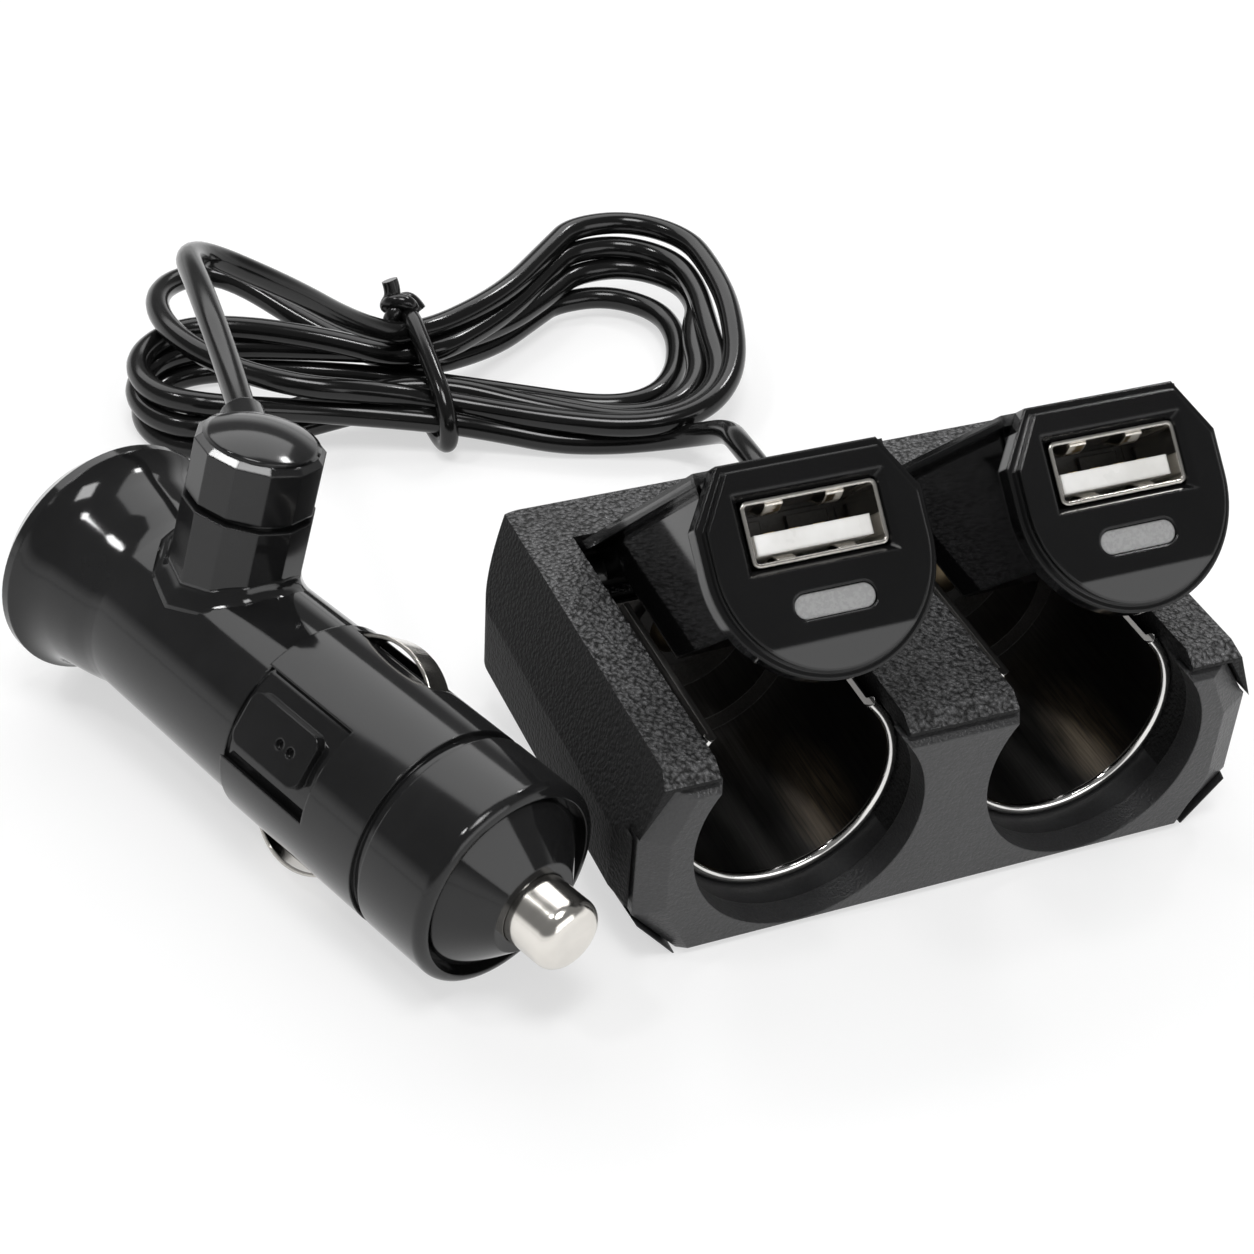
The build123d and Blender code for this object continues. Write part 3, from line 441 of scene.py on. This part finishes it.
def frosted_light():
    """Milky light pipe."""
    finish, tree, shader = start_finish("light_grey", Specular_IOR_Level=0.5, Subsurface_Weight=0.3)
    shader.inputs["Subsurface Radius"].default_value = (0.001, 0.001, 0.001)
    grit = place_effect(tree, "fine_grit", Grains=2600.0)
    tree.links.new(shade(tree, grit["Tone"], (0.31, 0.31, 0.31), 0.85, 1.15), shader.inputs["Base Color"])
    tree.links.new(span(tree, grit["Tone"], 0.2, 0.35), shader.inputs["Roughness"])
    surface(tree, shader, grit["Height"], strength=0.1, depth=0.00002, edge_mm=0.3)
    return finish


def fuse_glass():
    finish, tree, shader = start_finish("fuse_glass", Transmission_Weight=0.9, IOR=1.5)
    marks = place_effect(tree, "handling")
    tree.links.new(shade(tree, marks["Smear"], (0.85, 0.9, 0.9), 0.95, 1.05), shader.inputs["Base Color"])
    tree.links.new(span(tree, marks["Smear"], 0.02, 0.1), shader.inputs["Roughness"])
    return finish


finishes = {
    "grained_shell": grained_shell(),
    "shell_plain": gritty_plastic(
        "shell_plain", (0.026, 0.026, 0.027), 0.4, 0.00006, (0.36, 0.5), specular=0.45, edge_mm=0.3
    ),
    "plate": gritty_plastic(
        "plate", (0.034, 0.034, 0.035), 0.9, 0.0001, (0.28, 0.42), specular=0.55, edge_mm=0.25
    ),
    "screw_steel": plated_metal("screw_steel", (0.55, 0.55, 0.57), (0.25, 0.4)),
    "board": gritty_plastic("board", (0.03, 0.14, 0.05), 0.1, 0.00003, (0.3, 0.45)),
    "cord_rubber": polished_plastic(
        "cord_rubber", (0.005, 0.005, 0.005), (0.12, 0.2), specular=0.42, dust=0.08, ripple=0.12, edge_mm=0.1
    ),
    "liner_metal": socket_metal(),
    "insulator": gritty_plastic("insulator", (0.02, 0.019, 0.018), 0.2, 0.00004, (0.4, 0.6)),
    "contact_brass": plated_metal("contact_brass", (0.75, 0.57, 0.3), (0.2, 0.35)),
    "pin_steel": plated_metal("pin_steel", (0.6, 0.6, 0.62), (0.2, 0.3)),
    "lid_gloss": polished_plastic(
        "lid_gloss", (0.004, 0.004, 0.0042), (0.05, 0.1), specular=0.45, edge_mm=0.4
    ),
    "nickel": plated_metal("nickel", (0.82, 0.79, 0.74), (0.12, 0.22), edge_mm=0.24),
    "port_white": polished_plastic(
        "port_white", (0.84, 0.83, 0.8), (0.25, 0.35), specular=0.4, dust=0.02, edge_mm=0.45
    ),
    "light_grey": frosted_light(),
    "plug_gloss": polished_plastic("plug_gloss", (0.011, 0.011, 0.0113), (0.07, 0.13), specular=0.42),
    "fuse_glass": fuse_glass(),
}
rolled_chrome = plated_metal("rolled_chrome", (0.86, 0.85, 0.83), (0.06, 0.12))
port_cave = gritty_plastic("port_cave", (0.035, 0.035, 0.036), 0.1, 0.00003, (0.3, 0.45))
own_finishes = {
    "center_contact": plated_metal("dull_brass", (0.12, 0.095, 0.06), (0.35, 0.5)),
    "lid_cover": polished_plastic("cover_gloss", (0.004, 0.004, 0.0042), (0.08, 0.14), edge_mm=1.1),
}


def dress():
    """Gives each CAD node the finish of its material slot, or the one made for it alone."""
    for part in frame["record"]["subparts"]:
        finish = finishes[part["material_slot"]]
        for start, own in own_finishes.items():
            if part["node"].startswith(start):
                finish = own
        slots = nodes[part["node"]].material_slots
        if not slots:
            nodes[part["node"]].data.materials.append(finish)
        for slot in slots:
            slot.material = finish


# Pieces


def settle(made, body):
    """Puts a new piece into the scene, on its body."""
    bpy.context.scene.collection.objects.link(made)
    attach(made, body)
    return made


def mesh_piece(name, points_mm, faces, body, slot, finish=None, smooth=False):
    mesh = bpy.data.meshes.new(name)
    mesh.from_pydata([Vector(point) * MM for point in points_mm], [], faces)
    mesh.validate()
    mesh.polygons.foreach_set("use_smooth", [smooth] * len(mesh.polygons))
    mesh.materials.append(finish or finishes[slot])
    return settle(bpy.data.objects.new(name, mesh), body)


def tube(name, points_mm, diameter_mm, slot="cord_rubber", finish=None, cyclic=False):
    """A round cord or wire along a smooth open or closed line whose control points are given."""
    curve = bpy.data.curves.new(name, "CURVE")
    curve.dimensions = "3D"
    curve.bevel_depth = diameter_mm / 2 * MM
    curve.bevel_resolution = 6
    curve.resolution_u = 10
    curve.use_fill_caps = True
    line = curve.splines.new("NURBS")
    line.points.add(len(points_mm) - 1)
    for point, place in zip(line.points, points_mm):
        point.co = (*(Vector(place) * MM), 1.0)
    line.order_u = 3
    if cyclic:
        line.use_cyclic_u = True
    else:
        line.use_endpoint_u = True
    curve.materials.append(finish or finishes[slot])
    return settle(bpy.data.objects.new(name, curve), "casing")


# Cord, hank and tie


def fold(centre, radius, angles, first_z, last_z):
    """Control points round a fold of the hank, rising evenly from one height to the other."""
    steps = len(angles) - 1
    return [
        (
            centre[0] + radius * cos(radians(angle)),
            centre[1] + radius * sin(radians(angle)),
            first_z + (last_z - first_z) * step / steps,
        )
        for step, angle in enumerate(angles)
    ]


def left_turn(centre, radius, height, low, high):
    """A loop of the left lobe, from the tie's near side round to its far side."""
    return [low] + fold(centre, radius, left_fold_angles, height, height) + [high]


def right_turn(far, far_radius, near, near_radius, heights, rise, crest, side, low):
    """A loop of the right lobe, from the tie's far side round to its near side."""
    start, top, flank, end = heights
    points = [(*rise, start), (*crest, (start + top) / 2)]
    points += fold(far, far_radius, far_fold_angles, top, (top + flank) / 2)
    points += [(*side, flank)] if side else []
    points += fold(near, near_radius, near_fold_angles, (flank + end) / 2, end)
    return points + [(*low, end)]


def at_tie(places):
    return [(tie_x_mm, y, z) for y, z in places]


def make_cord():
    """One cord from the casing through the tied hank to the plug's nut."""
    under = at_tie(((70.6, 3.7), (73.4, 3.9), (76.3, 3.7), (75.8, 6.3)))
    over = at_tie(((64.6, 3.7), (67.2, 5.0), (69.9, 6.0), (72.6, 7.0), (75.4, 8.7)))
    tail = [cord_exit_mm, (6, 40.5, 10.5), (7.4, 46.5, 8.2), (6.8, 52.2, 4.2), (3.2, 55.8, 1.9)]
    tail += [(-2.5, 57.4, 1.45), (-8.5, 59.3, 1.6), (-14.5, 62.3, 2.5), over[0]]
    left_top = left_turn(
        (-44.5, 79.6), radius=9.0, height=6.9, low=(-33, 69.0, 4.6), high=(-31, 82.2, 6.8)
    )
    right_second = right_turn(
        far=(8.6, 82.3),
        far_radius=9.6,
        near=(4.2, 66.0),
        near_radius=10.4,
        heights=(6.6, 7.6, 6.6, 4.2),
        rise=(-8, 80),
        crest=(1, 88),
        side=(15.6, 71),
        low=(-9, 62.6),
    )
    left_middle = left_turn(
        (-44.8, 78.8), radius=9.2, height=4.15, low=(-33, 71.6, 4.4), high=(-31, 82.6, 4.8)
    )
    right_third = right_turn(
        far=(8.8, 81.3),
        far_radius=9.4,
        near=(3.2, 68.0),
        near_radius=9.6,
        heights=(4.8, 5.0, 4.9, 3.4),
        rise=(-8, 80.5),
        crest=(1, 86.5),
        side=(14.2, 72.5),
        low=(-9, 65.4),
    )
    left_low = left_turn(
        (-44.6, 78.2), radius=9.0, height=1.45, low=(-33, 71.6, 1.8), high=(-31, 82, 1.9)
    )
    right_inner = right_turn(
        far=(5.6, 79.6),
        far_radius=9.2,
        near=(3.0, 72.6),
        near_radius=8.8,
        heights=(2.2, 2.3, 2.2, 1.6),
        rise=(-9, 80.5),
        crest=(-1, 86),
        side=None,
        low=(-9, 70),
    )
    left_tall = [(-29.5, 86, 5.0)]
    left_tall += fold((-39.6, 89.6), 9.0, tall_fold_angles, first_z=8.0, last_z=9.4)
    left_tall += [(-48, 82, 9.8), (-43.5, 74.6, 9.2), (-36.5, 69.6, 8.4), (-29, 68.0, 7.3)]
    right_outer = right_turn(
        far=(9.8, 83.0),
        far_radius=10.4,
        near=(5.0, 65.6),
        near_radius=11.2,
        heights=(9.2, 10.2, 8.6, 4.3),
        rise=(-8, 80.5),
        crest=(2, 89.5),
        side=(18.6, 71),
        low=(-9, 60.0),
    )
    lead = [(-29, 73, 13.5), (-37.5, 70, 21.5), (-49.8, 67.5, 30.5), (-51.2, 52.5, 33)]
    lead += [outlet_bend_mm, outlet_mm]
    points = tail + left_top + [over[3]] + right_second + [over[2]]
    points += left_middle + [under[3]] + right_third + [under[0]]
    points += left_low + [under[1]] + right_inner[::-1] + [under[2]]
    points += left_tall + [over[1]] + right_outer[::-1] + [over[4]] + lead
    return tube("cord_line", points, cord_mm)


def make_tie():
    """Cord ring round the hank's waist, with its knot and a short end."""
    under_sides = ((61.6, 1.1), (70.5, 1.1), (79.6, 1.1))
    over_sides = ((79.8, 7.0), (77.8, 12.0), (70.0, 9.8), (62.0, 6.4))
    ring = tube("hank_tie_ring", at_tie(under_sides + over_sides), tie_mm, cyclic=True)
    middle = Vector(knot_place_mm)
    knot = []
    for step in range(knot_points):
        angle = radians(step * knot_step)
        reach = knot_reach_mm + knot_swell_mm * cos(knot_waves * angle)
        sway = knot_sway_mm * sin(knot_waves * angle)
        knot.append(middle + Vector((reach * cos(angle), sway, reach * sin(angle))))
    knot += [middle + Vector(place) for place in knot_end_mm]
    return ring, tube("hank_tie_knot", knot, knot_mm)


# Sockets and ports


def make_socket_rim(side, x_mm):
    """Rolled and polished edge of a socket's cup, open at the top."""
    points = []
    for step in range(rim_steps + 1):
        angle = radians(rim_opening - (180 + 2 * rim_opening) * step / rim_steps)
        x = x_mm + rim_radius_mm * cos(angle)
        z = socket_z_mm + rim_radius_mm * sin(angle)
        points.append((x, front_face_mm + rim_depth_mm, z))
    tube(f"socket_rim_{side}", points, rim_wire_mm, "liner_metal", rolled_chrome)


def box_faces(first):
    """Six faces of a box whose corners follow each other, near face first."""
    corners = ((0, 1, 2, 3), (7, 6, 5, 4), (0, 4, 5, 1), (1, 5, 6, 2), (2, 6, 7, 3), (3, 7, 4, 0))
    return [[first + corner for corner in face] for face in corners]


def swing_open(points_mm):
    """Carries points of a closed lid to its open place."""
    turn = Matrix.Rotation(radians(-lid_open), 3, "X")
    hinge = Vector((0.0, hinge_y_mm, hinge_z_mm))
    return [hinge + turn @ (Vector(point) - hinge) for point in points_mm]


def make_port_back(side, x_mm):
    """Dark rear wall of a charging port, with two raised pads."""
    half, top = port_width_mm / 2, port_height_mm / 2
    wall_back = port_block_mm - wall_clear_mm
    wall_front = wall_back - wall_mm
    pad_depths = (wall_front - pad_mm, wall_front)
    pad_heights = (pad_margin_mm, top - pad_margin_mm)
    left_pad = -half + pad_left_mm
    right_pad = half - pad_right_mm
    boxes = [
        ((-half, half), (wall_front, wall_back), (wall_foot_mm, top)),
        ((left_pad, left_pad + pad_width_mm), pad_depths, pad_heights),
        ((right_pad - pad_width_mm, right_pad), pad_depths, pad_heights),
    ]
    points, faces = [], []
    for (left, right), depths, (low, high) in boxes:
        faces += box_faces(len(points))
        for depth in depths:
            y = front_face_mm + depth
            for x, z in ((left, low), (right, low), (right, high), (left, high)):
                points.append((x_mm + x, y, port_z_mm + z))
    mesh_piece(f"port_back_{side}", swing_open(points), faces, f"lid_{side}", "insulator", port_cave)


def make_port_springs(side, x_mm):
    """The four spring tabs of a charging port's shell, bent towards the tongue."""
    top = port_height_mm / 2 - tab_clear_mm
    points, faces = [], []
    for middle in (-tab_x_mm, tab_x_mm):
        for level in (-1, 1):
            first = len(points)
            for step in range(tab_steps + 1):
                share = step / tab_steps
                y = front_face_mm + port_mouth_mm + tab_start_mm + tab_length_mm * share
                dip = tab_dip_mm * sin(pi * min(1.0, share / tab_bend_share))
                for edge in (-tab_half_mm, tab_half_mm):
                    for sheet in (tab_sheet_mm, 0.0):
                        points.append((x_mm + middle + edge, y, port_z_mm + level * (top - dip - sheet)))
            for step in range(tab_steps):
                a, b = first + 4 * step, first + 4 * step + 4
                faces += [(a, a + 2, b + 2, b), (a + 1, b + 1, b + 3, a + 3)]
                faces += [(a, b, b + 1, a + 1), (a + 2, a + 3, b + 3, b + 2)]
            last = first + 4 * tab_steps
            faces += [(first, first + 1, first + 3, first + 2), (last, last + 2, last + 3, last + 1)]
    mesh_piece(f"port_springs_{side}", swing_open(points), faces, f"lid_{side}", "nickel")


# Plug


def plug_directions():
    """The plug's axis towards its tip, and its two cross directions."""
    turn, dip = radians(plug_turn), radians(plug_dip)
    axis = Vector((sin(turn) * cos(dip), -cos(turn) * cos(dip), -sin(dip)))
    across = Vector((cos(turn), sin(turn), 0.0))
    return axis, across, axis.cross(across)


def boss_directions():
    """The boss's middle on the plug's axis, with the directions along the plug, beside it and out."""
    axis, across, up = plug_directions()
    out = cos(radians(boss_angle)) * across + sin(radians(boss_angle)) * up
    return Vector(plug_place_mm) + boss_along_mm * axis, axis, out.cross(axis), out


def make_boss_fillet():
    """The fillet where the plug's faceted boss stands on the round grip."""
    middle, axis, beside, out = boss_directions()
    section = []
    for step in range(fillet_steps + 1):
        angle = pi + pi / 2 * step / fillet_steps
        section.append((boss_fillet_mm * (1 + cos(angle)), boss_fillet_mm * (1 + sin(angle))))
    section.append(fillet_root_mm)
    facet = 2 * pi / boss_facets
    points, faces = [], []
    for turn in range(round_steps):
        angle = 2 * pi * turn / round_steps
        wall = boss_radius_mm * cos(facet / 2) / cos(angle % facet - facet / 2)
        for reach, rise in section:
            along = (wall + reach) * cos(angle)
            aside = (wall + reach) * sin(angle)
            height = sqrt(grip_radius_mm**2 - aside**2) + rise
            points.append(middle + along * axis + aside * beside + height * out)
    ring = len(section)
    for turn in range(round_steps):
        here, there = turn * ring, (turn + 1) % round_steps * ring
        for step in range(ring):
            after = (step + 1) % ring
            faces.append((here + step, there + step, there + after, here + after))
    return mesh_piece("boss_fillet", points, faces, "casing", "plug_gloss", smooth=True)


def make_nut_dome():
    """The smooth dome on top of the cord nut."""
    middle, axis, beside, out = boss_directions()
    foot = middle + nut_shoulder_mm * out
    ball = (dome_radius_mm**2 + dome_rise_mm**2) / (2 * dome_rise_mm)
    points, faces = [], []
    for ring in range(dome_rings):
        radius = dome_radius_mm * (1 - ring / dome_rings)
        height = dome_rise_mm - ball + sqrt(ball**2 - radius**2)
        for turn in range(round_steps):
            angle = 2 * pi * turn / round_steps
            points.append(foot + radius * (cos(angle) * axis + sin(angle) * beside) + height * out)
    points.append(foot + dome_rise_mm * out)
    crown = dome_rings * round_steps
    for ring in range(dome_rings):
        low, high = ring * round_steps, (ring + 1) * round_steps
        for turn in range(round_steps):
            after = (turn + 1) % round_steps
            if high < crown:
                faces.append((low + turn, low + after, high + after, high + turn))
            else:
                faces.append((low + turn, low + after, crown))
    faces.append(tuple(reversed(range(round_steps))))
    return mesh_piece("nut_dome", points, faces, "casing", "plug_gloss", smooth=True)


# Studio


def add_light(name, place, aim, width, height, power):
    data = bpy.data.lights.new(name, "AREA")
    data.shape = "RECTANGLE"
    data.size = width
    data.size_y = height
    data.energy = power
    lamp = bpy.data.objects.new(name, data)
    lamp.location = place
    lamp.rotation_euler = (Vector(aim) - Vector(place)).to_track_quat("-Z", "Y").to_euler()
    bpy.context.scene.collection.objects.link(lamp)


def seen_rays(tree):
    """One for rays that show the studio itself: to the camera, in gloss and through glass."""
    path = tree.nodes.new("ShaderNodeLightPath").outputs
    shown = math_node(tree, "MAXIMUM", path["Is Camera Ray"], path["Is Transmission Ray"])
    return math_node(tree, "MAXIMUM", shown, path["Is Glossy Ray"])


def set_surround():
    """Even light all round; what is seen of it is white low down and dim above."""
    world = bpy.data.worlds.new("studio_world")
    bpy.context.scene.world = world
    world.use_nodes = True
    tree = world.node_tree
    surround = tree.nodes["Background"].inputs
    surround["Color"].default_value = (1.0, 1.0, 1.0, 1.0)
    height = height_of(tree, tree.nodes.new("ShaderNodeTexCoord").outputs["Generated"])
    seen = span(tree, height, 1.0, seen_dim, bottom=seen_white_below, top=seen_dim_above)
    more = math_node(tree, "SUBTRACT", seen, even_light)
    tree.links.new(math_node(tree, "MULTIPLY_ADD", more, seen_rays(tree), even_light), surround["Strength"])


def set_floor():
    """Pale paper that keeps the object's shadow."""
    mesh = bpy.data.meshes.new("studio_floor")
    corners = [(x * floor_half, y * floor_half, 0) for x, y in ((-1, -1), (1, -1), (1, 1), (-1, 1))]
    mesh.from_pydata(corners, [], [(0, 1, 2, 3)])
    floor = bpy.data.objects.new("studio_floor", mesh)
    floor.location.z = -floor_drop
    bpy.context.scene.collection.objects.link(floor)
    finish, tree, shader = start_finish("studio_paper", Roughness=0.9, Specular_IOR_Level=0.0)
    tooth = place_effect(tree, "fine_grit", Grains=900.0)
    tree.links.new(shade(tree, tooth["Tone"], (0.93, 0.93, 0.93), 0.995, 1.005), shader.inputs["Base Color"])
    white = tree.nodes.new("ShaderNodeEmission")
    mix = tree.nodes.new("ShaderNodeMixShader")
    tree.links.new(math_node(tree, "MULTIPLY", seen_rays(tree), paper_glow), mix.inputs[0])
    tree.links.new(shader.outputs[0], mix.inputs[1])
    tree.links.new(white.outputs[0], mix.inputs[2])
    tree.links.new(mix.outputs[0], tree.nodes["Material Output"].inputs["Surface"])
    mesh.materials.append(finish)


def set_studio():
    """Soft boxes behind, in front and above, and two small lamps for crisp highlights."""
    bpy.context.scene.view_settings.view_transform = "Standard"
    set_surround()
    set_floor()
    add_light("back_box", (0.03, 0.46, 0.52), (-0.01, 0.02, 0.01), width=0.9, height=0.42, power=2.6)
    add_light("front_box", (0.26, -0.67, 0.3), (0.0, 0.0, 0.02), width=0.7, height=0.36, power=1.6)
    add_light("key_box", (-0.06, -0.14, 0.74), (-0.01, 0.0, 0.02), width=0.25, height=0.25, power=2.2)
    add_light("left_lamp", (-0.34, 0.1, 0.6), (-0.03, 0.02, 0.02), width=0.07, height=0.07, power=0.55)
    add_light("right_lamp", (0.36, 0.26, 0.5), (0.0, 0.02, 0.02), width=0.07, height=0.07, power=0.5)


set_camera()
set_studio()
dress()
cord = make_cord()
tie, knot = make_tie()
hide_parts("cord_lead", "cord_hank", "cord_tail")
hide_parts("hank_tie")
for side, way in (("left", -1), ("right", 1)):
    make_socket_rim(side, way * socket_x_mm)
    make_port_back(side, way * socket_x_mm)
    make_port_springs(side, way * socket_x_mm)
on_cord = [tie, knot, make_boss_fillet(), make_nut_dome()]
